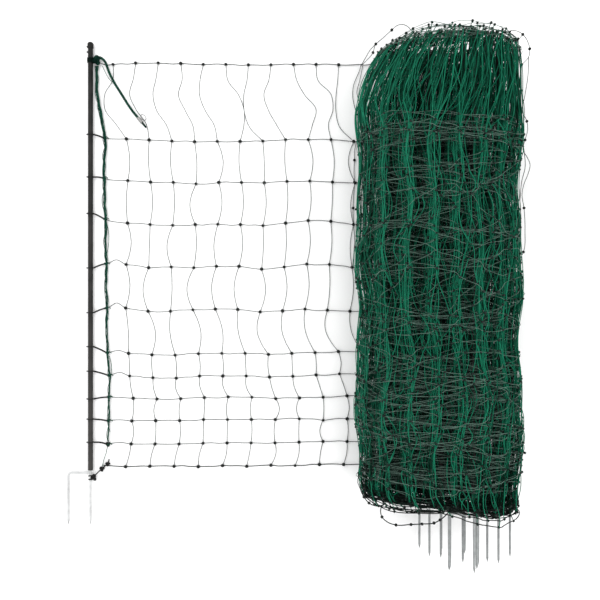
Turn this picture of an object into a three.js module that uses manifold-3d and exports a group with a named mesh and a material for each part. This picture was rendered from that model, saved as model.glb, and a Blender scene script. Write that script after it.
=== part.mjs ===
// Electric poultry netting, laid flat: an end post and the first panel of net, and the rest of the
// net still rolled around its other posts. Millimetres. X runs from the end post to the roll,
// Y runs up the posts, and Z = 0 is the ground that everything lies on.

import * as THREE from "three";
import { mergeVertices } from "three/addons/utils/BufferGeometryUtils.js";
import Module from "manifold-3d";

const wasm = await Module();
wasm.setup();

// Gap kept between two pieces that touch
const clearance = 0.3;

// Net: its lines from the ground line up. up is a line's height above the ground line, first the
// distance from the post's axis to its first knot, and pitch the distance between its knots.
// lift is how far each knot lies above the line's own height. bows is how far each upright below the
// line swings out to the right of a straight strand: once between two lines, and at four places,
// from the top down, below the top line. joint is how far above the line it leaves the gathered
// cord, tie how far above the line its band sits on the post, and hump the rise of its slack start.
const rows = [
  { up: 0, first: 96, pitch: 67.3, lift: [-3, -2, -2, -3, 0, -2, 1, 0, 3, 3, 3] },
  {
    up: 64, first: 111, pitch: 66.7, joint: -4, tie: 2, hump: 0,
    lift: [-4, -4, -4, -2, -1, -1, -1, 1, 3, 3, 3],
    bows: [2, -3, -2, -4, 4, 1, 8, 5, -2, 4, 3],
  },
  {
    up: 127, first: 113, pitch: 66.5, joint: -2, tie: 3, hump: 0,
    lift: [-3, -2, -2, 1, 1, 1, 1, 3, -1, 3, 3],
    bows: [6, 1, 3, 0, 0, 2, -3, -1, -9, 3, 2],
  },
  {
    up: 189, first: 117, pitch: 66, joint: 2, tie: -3, hump: 0,
    lift: [-2, -4, -3, 0, 2, 1, -3, -1, 1, 5, 4],
    bows: [3, -7, -3, 1, -4, -4, 11, -8, 2, 6, 3],
  },
  {
    up: 249, first: 107, pitch: 64.8, joint: 2, tie: 14, hump: 10,
    lift: [0, -5, -6, 0, 0, 0, -3, -1, 3, 6, 6],
    bows: [-2, -4, -8, -6, -7, -8, -2, -5, 0, 1, 0],
  },
  {
    up: 312, first: 104, pitch: 64.8, joint: 2, tie: 19, hump: 8,
    lift: [0, -4, -5, -1, 0, 0, -3, 0, 2, 5, 4],
    bows: [1, -2, 2, 3, 3, 0, -3, 0, 2, 6, 3],
  },
  {
    up: 432, first: 96, pitch: 62.3, joint: 6, tie: -7, hump: 20,
    lift: [6, -3, -3, 1, 3, 2, -5, -2, 3, 0, -3],
    bows: [3, 15, -8, 14, 11, -9, -19, -14, -13, -20, -12],
  },
  {
    up: 554, first: 97, pitch: 62.8, joint: 7, tie: -5, hump: 18,
    lift: [5, -4, -2, -4, 0, 0, -8, -2, 6, 5, -3],
    bows: [11, -15, 3, -18, -12, -12, 13, 10, 9, 4, 7],
  },
  {
    up: 674, first: 101, pitch: 62.8, joint: 11, tie: 26, hump: 3,
    lift: [0, -4, -6, -4, -3, -4, -7, 0, 7, 5, -4],
    bows: [12, 0, -14, 5, -9, 8, 3, 4, 8, 5, -7],
  },
  {
    up: 789, first: 102, pitch: 63.2, joint: 10, tie: 12, hump: 4,
    lift: [3, -1, -2, -6, -2, -2, -3, 1, 2, -1, -3],
    bows: [-4, 6, 4, -16, 10, 7, 7, 4, 6, 2, -10],
  },
  {
    up: 905, first: 98, pitch: 63.2, joint: 5, tie: 14, hump: 3,
    lift: [3, 0, -3, -5, -4, -4, -3, 1, 1, 1, -4],
    bows: [7, -4, -6, 4, 14, -5, 2, -4, 11, 7, -17],
  },
  {
    up: 1115, first: 61, pitch: 62.7, lift: [0, 4, 4, 3, 0, 0, -1, -1, 0, 0, -1],
    bows: [
      [-8, -38, -45, -22],
      [-14, -32, -22, 0],
      [-14, -30, -28, -7],
      [-4, -22, -11, 3],
      [-17, -26, -18, 0],
      [-3, 20, 27, 18],
      [-12, -29, -36, -31],
      [-14, -36, -32, -17],
      [0, 14, 38, 20],
      [-4, 25, 22, 1],
      [-11, -24, -33, -32],
    ],
  },
];
const topRow = rows.length - 1;
const topUp = rows[topRow].up;
const uprightCount = 11;
const lineThickness = 2.4;
const uprightThickness = 1.8;
const knotSize = 7;
const bowLength = 40;

// End post and its steel foot
const postRadius = 7;
const postEndUp = -11;
const postAboveNet = 43;
const postTopUp = topUp + postAboveNet;
const capRadius = 8.6;
const capHeight = 17;
const capLip = 4;
const capLipHeight = 4;
const capLipGap = 12;
const spikeRadius = 3.1;
const spikeLength = 152;
const spikeTip = 12;
const stepBelow = 7;
const stepWidth = 61;
const stepBend = 9;

// Ties that hold the lines to the post
const tieThickness = 2.2;
const tieWidth = 5;
const sleeveThickness = 4.4;
const postAxisHeight = postRadius + tieThickness + clearance;

// Cord that ties the ground line to the foot
const footCord = 4;
const footKnotX = 31;
const footKnotSize = 9;
const footTieUp = -28;
const footTurnPitch = 9;

// Cord of gathered conductor ends, thinner below each line that leaves it
const cordHeight = 6;
const cordTopThickness = 7;
const cordMiddleThickness = 5;
const cordLowThickness = 3.2;
const cordEndThickness = 2;
const topKnotThickness = 7;
const topKnotLength = 30;
const topKnotUp = topUp + 11;
const cordTopUp = topKnotUp - topKnotLength / 2 - clearance;
const topKnotReach = 24;

// Free lead with its crimped sleeve, wire eye and cut end
const leadThickness = 7;
const sleeveRadius = 4.6;
const sleeveLength = 18;
const stubLength = 17;
const eyeWidth = 20;
const eyeHeight = 14;
const eyeWire = 1.8;
const stubThickness = 6;

// Roll
const panelWidth = 784;
const rollOverhang = 61;
const rollWidth = 433;
const rollLeft = panelWidth - rollOverhang;
const rollRight = rollLeft + rollWidth;
const rollThickness = 280;
const rollWaist = 118;
const rollBelowNet = 60;
const rollAboveNet = 25;
const rollBottomUp = -rollBelowNet;
const rollTopUp = topUp + rollAboveNet;
const rollBaseLeft = panelWidth;
const rollBaseRight = rollRight - 71;
const rollShoulderUp = 210;
const rollShoulderIn = 70;
const rollCornerUp = 50;
const rollCornerIn = 42;
const turnWidth = 16;
const turnGroove = 6;
const turnCount = 3;
const boreX = rollLeft + 113;
const boreZ = 148;
const boreWidth = 96;
const boreHeight = 34;

// Posts inside the roll: how far they sit below the end post, and for each its place across the
// roll from the roll's left, its height and the way its step points, in degrees from +X towards +Z
const rolledPostDrop = 54;
const rolledPosts = [
  { across: 199, z: 98, turn: -105 },
  { across: 227, z: 108, turn: 80 },
  { across: 297, z: 78, turn: -169 },
  { across: 277, z: 140, turn: 135 },
  { across: 319, z: 100, turn: 98 },
  { across: 341, z: 136, turn: 130 },
  { across: 367, z: 146, turn: -45 },
  { across: 289, z: 206, turn: -165 },
];

const postGrey = new THREE.MeshStandardMaterial({ color: 0x3a3c3e, roughness: 0.6 });
const black = new THREE.MeshStandardMaterial({ color: 0x151716, roughness: 0.7 });
const green = new THREE.MeshStandardMaterial({ color: 0x1d5a45, roughness: 0.75 });
const netGreen = new THREE.MeshStandardMaterial({ color: 0x3d5a50, roughness: 0.7 });
const steel = new THREE.MeshStandardMaterial({ color: 0xc4c9c8, roughness: 0.4, metalness: 0.9 });

const part = new THREE.Group();

function add(name, geometry, material) {
  const mesh = new THREE.Mesh(geometry, material);
  mesh.name = name;
  part.add(mesh);
  return mesh;
}

// A closed geometry as a solid for joining and cutting, and back again
function solid(geometry) {
  const bare = geometry.clone();
  bare.deleteAttribute("normal");
  bare.deleteAttribute("uv");
  const merged = mergeVertices(bare, 1e-4);
  return new wasm.Manifold(
    new wasm.Mesh({
      numProp: 3,
      vertProperties: new Float32Array(merged.attributes.position.array),
      triVerts: new Uint32Array(merged.index.array),
    }),
  );
}

function geometryOf(made) {
  const mesh = made.getMesh();
  const geometry = new THREE.BufferGeometry();
  geometry.setAttribute("position", new THREE.BufferAttribute(mesh.vertProperties, 3));
  geometry.setIndex(new THREE.BufferAttribute(mesh.triVerts, 1));
  return geometry;
}

function fuse(geometries) {
  return geometries.map(solid).reduce((all, next) => all.add(next));
}

// A path through given points, with a station at each of them
class PointPath extends THREE.Curve {
  constructor(points) {
    super();
    this.points = points;
  }
  getPoint(t, target = new THREE.Vector3()) {
    const last = this.points.length - 1;
    const place = THREE.MathUtils.clamp(t, 0, 1) * last;
    const index = Math.min(Math.floor(place), last - 1);
    return target.lerpVectors(this.points[index], this.points[index + 1], place - index);
  }
  getPointAt(t, target) {
    return this.getPoint(t, target);
  }
  getTangentAt(t, target) {
    return this.getTangent(t, target);
  }
}

function polygon(thickness, sides) {
  const shape = new THREE.Shape();
  for (let side = 0; side < sides; side += 1) {
    const angle = ((side + 0.5) / sides) * 2 * Math.PI;
    const x = (thickness / 2) * Math.cos(angle);
    const y = (thickness / 2) * Math.sin(angle);
    if (side === 0) shape.moveTo(x, y);
    else shape.lineTo(x, y);
  }
  shape.closePath();
  return shape;
}

function strand(points, thickness, sides) {
  return new THREE.ExtrudeGeometry(polygon(thickness, sides), {
    steps: points.length - 1,
    extrudePath: new PointPath(points),
  });
}

function point(x, y, z) {
  return new THREE.Vector3(x, y, z);
}

// Gathered cord: its route down beside the post, as places right of the post's axis and heights
const cordRoute = [
  [15, cordTopUp],
  [16, 1055],
  [23, 995],
  [31, 955],
  [39, 905],
  [37, 850],
  [36, 789],
  [39, 735],
  [40, 674],
  [41, 610],
  [42, 554],
  [43, 490],
  [44, 432],
  [44, 370],
  [46, 312],
  [51, 249],
  [50, 189],
  [49, 127],
  [48, 64],
];

// Where the gathered cord's axis is at a height
function cordX(up) {
  const below = cordRoute.findIndex(([, height]) => height <= up);
  if (below <= 0) return cordRoute[0][0];
  const [xHigh, high] = cordRoute[below - 1];
  const [xLow, low] = cordRoute[below];
  return THREE.MathUtils.mapLinear(up, low, high, xLow, xHigh);
}

// The cord's thickness at a height, for what ties to it
function cordThickness(up) {
  if (up >= rows[8].up) return cordTopThickness;
  if (up >= rows[5].up) return cordMiddleThickness;
  return cordLowThickness;
}

function cordPiece(high, low, thickness) {
  const points = cordRoute
    .filter(([, up]) => up <= high && up >= low)
    .map(([x, up]) => point(x, up, cordHeight));
  return strand(points, thickness, 8);
}

// The net lies as high as half a knot
const netHeight = knotSize / 2;

function knotPlace(row, column) {
  const { up, first, pitch, lift } = rows[row];
  return point(first + pitch * column, up + (lift[column] ?? 0), netHeight);
}

// A line starts at the foot's knot, at the gathered cord or, the top one, at the top knot
function lineStart(row) {
  const { up, first, joint, hump } = rows[row];
  if (row === 0) return [point(footKnotX + footKnotSize / 2 + clearance, 0, netHeight)];
  if (row === topRow) return [point(topKnotReach + clearance, up, netHeight)];
  const start = point(cordX(up + joint), up + joint, netHeight);
  start.x += cordThickness(up) / 2 + clearance;
  return [start, point((start.x + first) / 2, up + hump, netHeight)];
}

function netLine(row) {
  const end = rollBaseLeft - clearance;
  const points = lineStart(row);
  for (let column = 0; column <= uprightCount; column += 1) {
    const knot = knotPlace(row, column);
    if (knot.x > end - knotSize) break;
    points.push(knot);
  }
  points.push(point(end, rows[row].up, netHeight));
  return strand(points, lineThickness, 4);
}

// An upright hangs slack between two lines, so it swings out to one side or the other
function swingOut(bow, along) {
  if (Array.isArray(bow)) {
    const place = (1 - along) * (bow.length + 1);
    const stops = [0, ...bow, 0];
    const index = Math.min(Math.floor(place), bow.length);
    return THREE.MathUtils.lerp(stops[index], stops[index + 1], place - index);
  }
  return bow * Math.sin(Math.PI * along);
}

function netUpright(column) {
  const points = [knotPlace(0, column)];
  for (let row = 1; row < rows.length; row += 1) {
    const low = knotPlace(row - 1, column);
    const high = knotPlace(row, column);
    const bow = rows[row].bows[column] ?? 0;
    const steps = Array.isArray(bow)
      ? bow.length + 1
      : Math.max(2, Math.round((high.y - low.y) / bowLength));
    for (let step = 1; step <= steps; step += 1) {
      const place = low.clone().lerp(high, step / steps);
      place.x += swingOut(bow, step / steps);
      points.push(place);
    }
  }
  return strand(points, uprightThickness, 4);
}

function netKnot(row, column) {
  const place = knotPlace(row, column);
  return new THREE.BoxGeometry(knotSize, knotSize, knotSize).translate(place.x, place.y, place.z);
}

function nettingPanel() {
  const pieces = rows.map((_, row) => netLine(row));
  for (let column = 0; column < uprightCount; column += 1) {
    pieces.push(netUpright(column));
    rows.forEach((_, row) => pieces.push(netKnot(row, column)));
  }
  return geometryOf(fuse(pieces));
}

// A post's shaft, cap and foot, each built along Y from the shaft's lower end at the origin
const shaftLength = postTopUp - postEndUp;

function postShaft() {
  return new THREE.CylinderGeometry(postRadius, postRadius, shaftLength, 12)
    .translate(0, shaftLength / 2, 0);
}

function postCap() {
  const base = shaftLength + clearance;
  const domeStart = capHeight - capRadius;
  const profile = [new THREE.Vector2(0, 0), new THREE.Vector2(capRadius, 0)];
  for (let step = 0; step <= 4; step += 1) {
    const angle = (step / 4) * (Math.PI / 2);
    const x = capRadius * Math.cos(angle);
    profile.push(new THREE.Vector2(step === 4 ? 0 : x, domeStart + capRadius * Math.sin(angle)));
  }
  return new THREE.LatheGeometry(profile, 12).translate(0, base, 0);
}

// The end post's cap also hooks over the top line on its outer side
function postHook(up) {
  const reach = capRadius + capLip;
  return new THREE.BoxGeometry(reach, capLipHeight, capRadius)
    .translate(-reach / 2, up, 0);
}

function endPostCap() {
  const base = shaftLength + clearance;
  return geometryOf(fuse([
    postCap(),
    postHook(base + capLipHeight),
    postHook(base + capLipHeight + capLipGap / 2),
  ]));
}

function spike(x, top) {
  const profile = [
    new THREE.Vector2(0, 0),
    new THREE.Vector2(spikeRadius, spikeTip),
    new THREE.Vector2(spikeRadius, spikeLength + top),
    new THREE.Vector2(0, spikeLength + top),
  ];
  return new THREE.LatheGeometry(profile, 8).translate(x, -spikeLength, 0);
}

function stepRod() {
  const corner = stepBend;
  const points = [point(0, -stepBelow, 0), point(corner - stepWidth, -stepBelow, 0)];
  for (let step = 1; step <= 3; step += 1) {
    const angle = (step / 3) * (Math.PI / 2);
    points.push(point(
      corner - stepWidth - corner * Math.sin(angle),
      -stepBelow - corner * (1 - Math.cos(angle)),
      0,
    ));
  }
  points.push(point(-stepWidth, spikeTip - spikeLength, 0));
  return strand(points, spikeRadius * 2, 8);
}

function stepTip() {
  return new THREE.ConeGeometry(spikeRadius, spikeTip, 8)
    .rotateX(Math.PI)
    .translate(-stepWidth, spikeTip / 2 - spikeLength, 0);
}

function postFoot() {
  return geometryOf(fuse([spike(0, -clearance), stepRod(), stepTip()]));
}

function addPost(name, x, up, z, turn, cap) {
  const post = new THREE.Group();
  const shaft = new THREE.Mesh(postShaft(), postGrey);
  shaft.name = name + "_shaft";
  const top = new THREE.Mesh(cap, postGrey);
  top.name = name + "_cap";
  const foot = new THREE.Mesh(postFoot(), steel);
  foot.name = name + "_foot";
  post.add(shaft, top, foot);
  post.position.set(x, up, z);
  post.rotation.y = THREE.MathUtils.degToRad(180 - turn);
  part.add(post);
}

// A tie is a band around the post with a sleeve over the line, out to the gathered cord
const bandInner = postRadius + clearance;

function band(up, width) {
  const profile = [
    new THREE.Vector2(bandInner, -width / 2),
    new THREE.Vector2(bandInner + tieThickness, -width / 2),
    new THREE.Vector2(bandInner + tieThickness, width / 2),
    new THREE.Vector2(bandInner, width / 2),
    new THREE.Vector2(bandInner, -width / 2),
  ];
  return new THREE.LatheGeometry(profile, 12).translate(0, up, postAxisHeight);
}

function postTie(row) {
  const { up, joint, tie } = rows[row];
  const start = point(bandInner + tieThickness / 2, up + tie, postAxisHeight);
  const end = point(cordX(up + joint), up + joint, cordHeight);
  const reach = end.clone().sub(start);
  const short = (cordThickness(up) / 2 + clearance) * (reach.length() / reach.x) + sleeveThickness / 4;
  end.sub(reach.setLength(short));
  return geometryOf(fuse([band(up + tie, tieWidth), strand([start, end], sleeveThickness, 6)]));
}

// A slice of the space that a round post takes, with its clearance
function postSpace(low, high) {
  const radius = bandInner / Math.cos(Math.PI / 12);
  return new THREE.CylinderGeometry(radius, radius, high - low, 12)
    .translate(0, (low + high) / 2, postAxisHeight);
}

// Knot of the gathered cord around the post's top
function topKnot() {
  const high = topKnotUp + topKnotLength / 2;
  const low = topKnotUp - topKnotLength / 2;
  const lump = new THREE.SphereGeometry(1, 8, 6)
    .scale((topKnotReach - bandInner) / 2 + tieThickness, topKnotLength / 2, topKnotThickness)
    .translate((topKnotReach + bandInner) / 2 - tieThickness, topKnotUp, postAxisHeight);
  const knot = fuse([band(topKnotUp, topKnotLength / 2), lump]);
  return geometryOf(knot.subtract(solid(postSpace(low, high))));
}

// Two turns around the spike and a knot at the ground line
function footTie() {
  const radius = spikeRadius + clearance + footCord / 2;
  const turns = [0, 1].map((turn) =>
    new THREE.TorusGeometry(radius, footCord / 2, 5, 10)
      .rotateX(Math.PI / 2)
      .translate(0, footTieUp - turn * footTurnPitch, postAxisHeight));
  const bridge = strand(
    [
      point(radius, footTieUp - footTurnPitch, postAxisHeight),
      point(radius + footCord / 4, footTieUp, postAxisHeight),
      point(footKnotX, 0, netHeight + 1),
    ],
    footCord,
    6,
  );
  const knot = new THREE.SphereGeometry(footKnotSize / 2, 8, 6)
    .translate(footKnotX, 0, footKnotSize / 2);
  return geometryOf(fuse([...turns, bridge, knot]));
}

function gatheredCord() {
  const end = [
    point(cordX(rows[1].up), rows[1].up, cordHeight),
    point(footKnotX + 6, footKnotSize * 2, cordHeight),
    point(footKnotX + 1, footKnotSize / 2 + clearance + 1, cordHeight),
  ];
  return geometryOf(fuse([
    cordPiece(cordTopUp, rows[8].up, cordTopThickness),
    cordPiece(rows[8].up, rows[5].up, cordMiddleThickness),
    cordPiece(rows[5].up, rows[1].up, cordLowThickness),
    strand(end, cordEndThickness, 8),
  ]));
}

// Free lead: it leaves the top knot and lies across the top line and the first upright
const leadEndHeight = netHeight + uprightThickness / 2 + clearance + sleeveRadius;
const leadRoute = [
  point(24.6, 1131, 9.6),
  point(30, 1130, 9.5),
  point(36, 1126, 9.3),
  point(41, 1119, 9),
  point(44.5, 1110, 8.8),
  point(48.5, 1099, 8.6),
  point(53, 1087, 8.5),
  point(59, 1075, 8.4),
  point(66, 1062, 8.4),
  point(74, 1049, 8.4),
  point(83, 1035, 8.4),
  point(93, 1019, 8.4),
  point(103, 1003, 8.6),
  point(112, 990, 8.9),
  point(121, 978, 9.2),
  point(131.5, 965.5, leadEndHeight),
];

function alongLead(distance) {
  const end = leadRoute[leadRoute.length - 1];
  const before = leadRoute[leadRoute.length - 2];
  const heading = end.clone().sub(before).setZ(0).normalize();
  return end.clone().add(heading.multiplyScalar(distance));
}

function leadSleeve() {
  return strand([alongLead(clearance), alongLead(sleeveLength)], sleeveRadius * 2, 12);
}

function leadStub() {
  const start = sleeveLength + clearance;
  return strand([alongLead(start), alongLead(start + stubLength)], stubThickness, 8);
}

// Oval wire eye, lying against the side of the sleeve
function leadEye() {
  const side = sleeveRadius + clearance + eyeHeight / 2;
  const start = alongLead(0);
  const end = alongLead(sleeveLength);
  const heading = Math.atan2(end.y - start.y, end.x - start.x);
  return new THREE.TorusGeometry(1, eyeWire / eyeHeight, 6, 18)
    .scale((eyeWidth - eyeWire) / 2, (eyeHeight - eyeWire) / 2, eyeHeight / 2)
    .translate(sleeveLength / 2, side, 0)
    .rotateZ(heading)
    .translate(start.x, start.y, start.z);
}

// Roll: its section across the posts, drawn this far inside the outer turn
function rollSection(inset, shape) {
  const left = rollLeft + inset;
  const right = rollRight - inset;
  const top = rollThickness - inset;
  const bottom = inset;
  const middle = (rollLeft + rollRight) / 2;
  const shoulder = 0.55;
  const lip = inset > 0 ? 0 : knotSize + 2;
  const baseLeft = rollBaseLeft + inset;
  const baseRight = rollBaseRight - inset;
  shape.moveTo(baseLeft, bottom);
  shape.lineTo(baseRight, bottom);
  shape.bezierCurveTo(baseRight + (right - baseRight) * 0.6, bottom,
    right, bottom + (rollWaist - bottom) * 0.4, right, rollWaist);
  shape.bezierCurveTo(right, rollWaist + (top - rollWaist) * shoulder,
    middle + (right - middle) * shoulder, top, middle, top);
  shape.bezierCurveTo(middle - (middle - left) * shoulder, top,
    left, rollWaist + (top - rollWaist) * shoulder, left, rollWaist);
  shape.bezierCurveTo(left, bottom + (rollWaist - bottom) * 0.4,
    left + (baseLeft - left) * 0.4, bottom + lip, baseLeft, bottom + lip);
  if (lip > 0) shape.lineTo(baseLeft, bottom);
  return shape;
}

// An outline in X and Z, extruded along Y between two heights
function alongPosts(shape, low, high, segments) {
  return new THREE.ExtrudeGeometry(shape, {
    depth: high - low,
    bevelEnabled: false,
    curveSegments: segments,
  }).rotateX(Math.PI / 2).translate(0, high, 0);
}

function turnGap(index, up) {
  const inset = turnWidth * (2 * index + 1);
  const shape = rollSection(inset, new THREE.Shape());
  shape.holes.push(rollSection(inset + turnWidth, new THREE.Path()));
  return alongPosts(shape, up - turnGroove, up + turnGroove, 6);
}

// The roll's left side leans in towards its top and its foot: the wedge between two corners
function leftWedge(lowUp, lowIn, highUp, highIn) {
  const outside = rollLeft - turnWidth;
  const shape = new THREE.Shape();
  shape.moveTo(outside, lowUp);
  shape.lineTo(rollLeft + lowIn, lowUp);
  shape.lineTo(rollLeft + highIn, highUp);
  shape.lineTo(outside, highUp);
  shape.closePath();
  const depth = rollThickness + 2 * turnWidth;
  return new THREE.ExtrudeGeometry(shape, { depth, bevelEnabled: false })
    .translate(0, 0, -turnWidth);
}

function rollBore() {
  const radius = boreHeight / 2;
  const half = boreWidth / 2 - radius;
  const shape = new THREE.Shape();
  shape.absarc(boreX + half, boreZ, radius, -Math.PI / 2, Math.PI / 2, false);
  shape.absarc(boreX - half, boreZ, radius, Math.PI / 2, (3 * Math.PI) / 2, false);
  shape.closePath();
  return alongPosts(shape, rollBottomUp - turnGroove, rollTopUp + turnGroove, 6);
}

// Room for a rolled post: as wide as the shaft, and wider over its cap
function postRoom({ across, z, turn }) {
  const sideScale = 1 / Math.cos(Math.PI / 12);
  const room = (radius, low, high) =>
    new THREE.CylinderGeometry(radius * sideScale, radius * sideScale, high - low, 12)
      .translate(0, (low + high) / 2, 0)
      .rotateY(THREE.MathUtils.degToRad(180 - turn))
      .translate(rollLeft + across, 0, z);
  const shaftTop = postTopUp - rolledPostDrop;
  return [
    room(postRadius + clearance, rollBottomUp - turnGroove, shaftTop),
    room(capRadius + clearance, shaftTop - clearance, rollTopUp + turnGroove),
  ];
}

function rolledNetting() {
  let roll = solid(alongPosts(rollSection(0, new THREE.Shape()), rollBottomUp, rollTopUp, 8));
  for (let index = 0; index < turnCount; index += 1) {
    roll = roll.subtract(solid(turnGap(index, rollBottomUp)));
    roll = roll.subtract(solid(turnGap(index, rollTopUp)));
  }
  const shoulder = leftWedge(rollTopUp - rollShoulderUp, 0, rollTopUp, rollShoulderIn);
  const corner = leftWedge(rollBottomUp, rollCornerIn, rollBottomUp + rollCornerUp, 0);
  roll = roll.subtract(solid(shoulder)).subtract(solid(corner)).subtract(solid(rollBore()));
  for (const room of rolledPosts.flatMap(postRoom)) roll = roll.subtract(solid(room));
  return geometryOf(roll);
}

addPost("end_post", 0, postEndUp, postAxisHeight, 180, endPostCap());
rolledPosts.forEach(({ across, z, turn }, index) => {
  const name = "rolled_post_" + (index + 2);
  addPost(name, rollLeft + across, postEndUp - rolledPostDrop, z, turn, postCap());
});
for (let row = 1; row < topRow; row += 1) {
  add("post_tie_" + (row + 1), postTie(row), black);
}
add("top_knot", topKnot(), green);
add("foot_tie", footTie(), black);
add("gathered_cord", gatheredCord(), green);
add("netting_panel", nettingPanel(), netGreen);
add("rolled_netting", rolledNetting(), green);
add("connector_lead", strand(leadRoute, leadThickness, 8), green);
add("lead_sleeve", leadSleeve(), steel);
add("lead_stub", leadStub(), green);
add("lead_eye", leadEye(), steel);

// The middle of the whole part, at ground level, is the origin
const bounds = new THREE.Box3().setFromObject(part, true);
const middle = bounds.getCenter(new THREE.Vector3());
part.position.set(-middle.x, -middle.y, -bounds.min.z);

export default part;
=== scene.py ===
import math

import bpy
import numpy as np
from mathutils import Matrix, Vector


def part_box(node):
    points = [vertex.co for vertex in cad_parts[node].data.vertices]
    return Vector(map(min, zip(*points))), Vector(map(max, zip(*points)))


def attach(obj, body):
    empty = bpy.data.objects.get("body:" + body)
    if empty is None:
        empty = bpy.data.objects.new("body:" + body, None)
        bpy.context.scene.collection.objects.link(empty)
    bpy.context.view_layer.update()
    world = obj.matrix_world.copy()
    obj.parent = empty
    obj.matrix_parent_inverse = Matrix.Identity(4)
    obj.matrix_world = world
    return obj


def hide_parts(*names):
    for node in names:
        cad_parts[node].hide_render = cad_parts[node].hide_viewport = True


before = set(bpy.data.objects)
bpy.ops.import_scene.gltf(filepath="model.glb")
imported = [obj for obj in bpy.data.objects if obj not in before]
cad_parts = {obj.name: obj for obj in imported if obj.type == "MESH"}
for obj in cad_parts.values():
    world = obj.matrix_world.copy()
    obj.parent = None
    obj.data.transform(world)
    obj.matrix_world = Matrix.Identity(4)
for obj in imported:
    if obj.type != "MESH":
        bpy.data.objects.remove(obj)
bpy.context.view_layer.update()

# Every measure is in millimetres: across from the end post's axis, up from the net's ground line,
# high above the ground. toFrame gives the frame's metres.
shaftBelowGround = 11  # the end post's shaft reaches this far below the ground line
shaftLow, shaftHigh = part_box("end_post_shaft")
frameOrigin = np.array([
    (shaftLow.x + shaftHigh.x) / 2,
    shaftLow.y + shaftBelowGround / 1000,
    0.0,
])
chance = np.random.default_rng(12)


def toFrame(points):
    return np.asarray(points, float) / 1000 + frameOrigin


# Camera: straight above, as the net was photographed. seen is the width of ground in its view.
camera = {"across": 580.6, "up": 460.2, "high": 1850, "seen": 1671.6, "pixels": 600}


def addCamera():
    data = bpy.data.cameras.new("camera")
    data.lens_unit = "FOV"
    data.angle = 2 * math.atan(camera["seen"] / 2 / camera["high"])
    eye = bpy.data.objects.new("camera", data)
    eye.location = toFrame([camera["across"], camera["up"], camera["high"]])
    bpy.context.scene.collection.objects.link(eye)
    bpy.context.scene.camera = eye


# A place in the 600 x 600 view, as a point at a height above the ground
def seenAt(x, y, high):
    middle = camera["pixels"] / 2
    scale = camera["seen"] / camera["pixels"] * (camera["high"] - high) / camera["high"]
    return (camera["across"] + (x - middle) * scale, camera["up"] + (middle - y) * scale, high)


addCamera()
print("camera placed")


# Smooth curve through the given points, with a point about every step
def smoothPath(points, step):
    points = np.asarray(points, float)
    gaps = np.linalg.norm(np.diff(points, axis=0), axis=1)
    along = np.concatenate([[0], np.cumsum(gaps)])
    count = max(2, int(round(along[-1] / step)) + 1)
    t = np.linspace(0, along[-1], count)
    slopes = np.gradient(points, along, axis=0)
    index = np.clip(np.searchsorted(along, t, side="right") - 1, 0, len(gaps) - 1)
    span = gaps[index][:, None]
    u = ((t - along[index]) / gaps[index])[:, None]
    return (
        (2 * u**3 - 3 * u**2 + 1) * points[index]
        + (u**3 - 2 * u**2 + u) * span * slopes[index]
        + (3 * u**2 - 2 * u**3) * points[index + 1]
        + (u**3 - u**2) * span * slopes[index + 1]
    )


def unit(vectors):
    return vectors / np.maximum(np.linalg.norm(vectors, axis=-1, keepdims=True), 1e-9)


# A batch of strands with the same number of points: paths is strands x points x 3
def strands(paths, thickness, sides, tone=0.5):
    paths = np.asarray(paths, float)
    if paths.ndim == 2:
        paths = paths[None]
    many, count, _ = paths.shape
    tangents = unit(np.gradient(paths, axis=1))
    least = np.argmin(np.square(tangents).sum(axis=1), axis=1)
    away = np.eye(3)[least][:, None, :]
    sideways = unit(np.cross(tangents, away))
    upwards = np.cross(sideways, tangents)
    radius = np.broadcast_to(np.asarray(thickness, float) / 2, (many, count)) \
        if np.ndim(thickness) == 2 \
        else np.broadcast_to(np.reshape(np.asarray(thickness, float) / 2, (-1, 1)), (many, count))
    turn = (np.arange(sides) + 0.5) / sides * 2 * math.pi
    ring = (
        np.cos(turn)[None, None, :, None] * sideways[:, :, None, :]
        + np.sin(turn)[None, None, :, None] * upwards[:, :, None, :]
    )
    points = paths[:, :, None, :] + radius[:, :, None, None] * ring
    base = (np.arange(many) * count * sides)[:, None, None]
    i = np.arange(count - 1)[None, :, None] * sides
    k = np.arange(sides)[None, None, :]
    n = (k + 1) % sides
    quads = np.stack([
        base + i + k,
        base + i + sides + k,
        base + i + sides + n,
        base + i + n,
    ], axis=-1).reshape(-1)
    low = base[:, 0] + np.arange(sides)[None, :]
    high = base[:, 0] + (count - 1) * sides + np.arange(sides)[::-1][None, :]
    length = np.concatenate([
        np.zeros((many, 1)),
        np.cumsum(np.linalg.norm(np.diff(paths, axis=1), axis=2), axis=1),
    ], axis=1)
    around = k / sides + np.zeros((many, count - 1, sides))
    start = np.broadcast_to(length[:, :-1, None], around.shape)
    end = np.broadcast_to(length[:, 1:, None], around.shape)
    uv = np.stack([
        np.stack([around, start], axis=-1),
        np.stack([around, end], axis=-1),
        np.stack([around + 1 / sides, end], axis=-1),
        np.stack([around + 1 / sides, start], axis=-1),
    ], axis=-2).reshape(-1, 2)
    capUv = np.zeros((2 * many * sides, 2))
    if np.ndim(tone) == 2:
        tones = np.repeat(np.asarray(tone, float), sides, axis=1)
    else:
        tones = np.broadcast_to(np.reshape(np.asarray(tone, float), (-1, 1)), (many, count * sides))
    return {
        "points": points.reshape(-1, 3),
        "loops": np.concatenate([quads, low.reshape(-1), high.reshape(-1)]),
        "sizes": np.concatenate([
            np.full(many * (count - 1) * sides, 4),
            np.full(2 * many, sides),
        ]),
        "uv": np.concatenate([uv, capUv]),
        "tone": tones.reshape(-1),
    }


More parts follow.
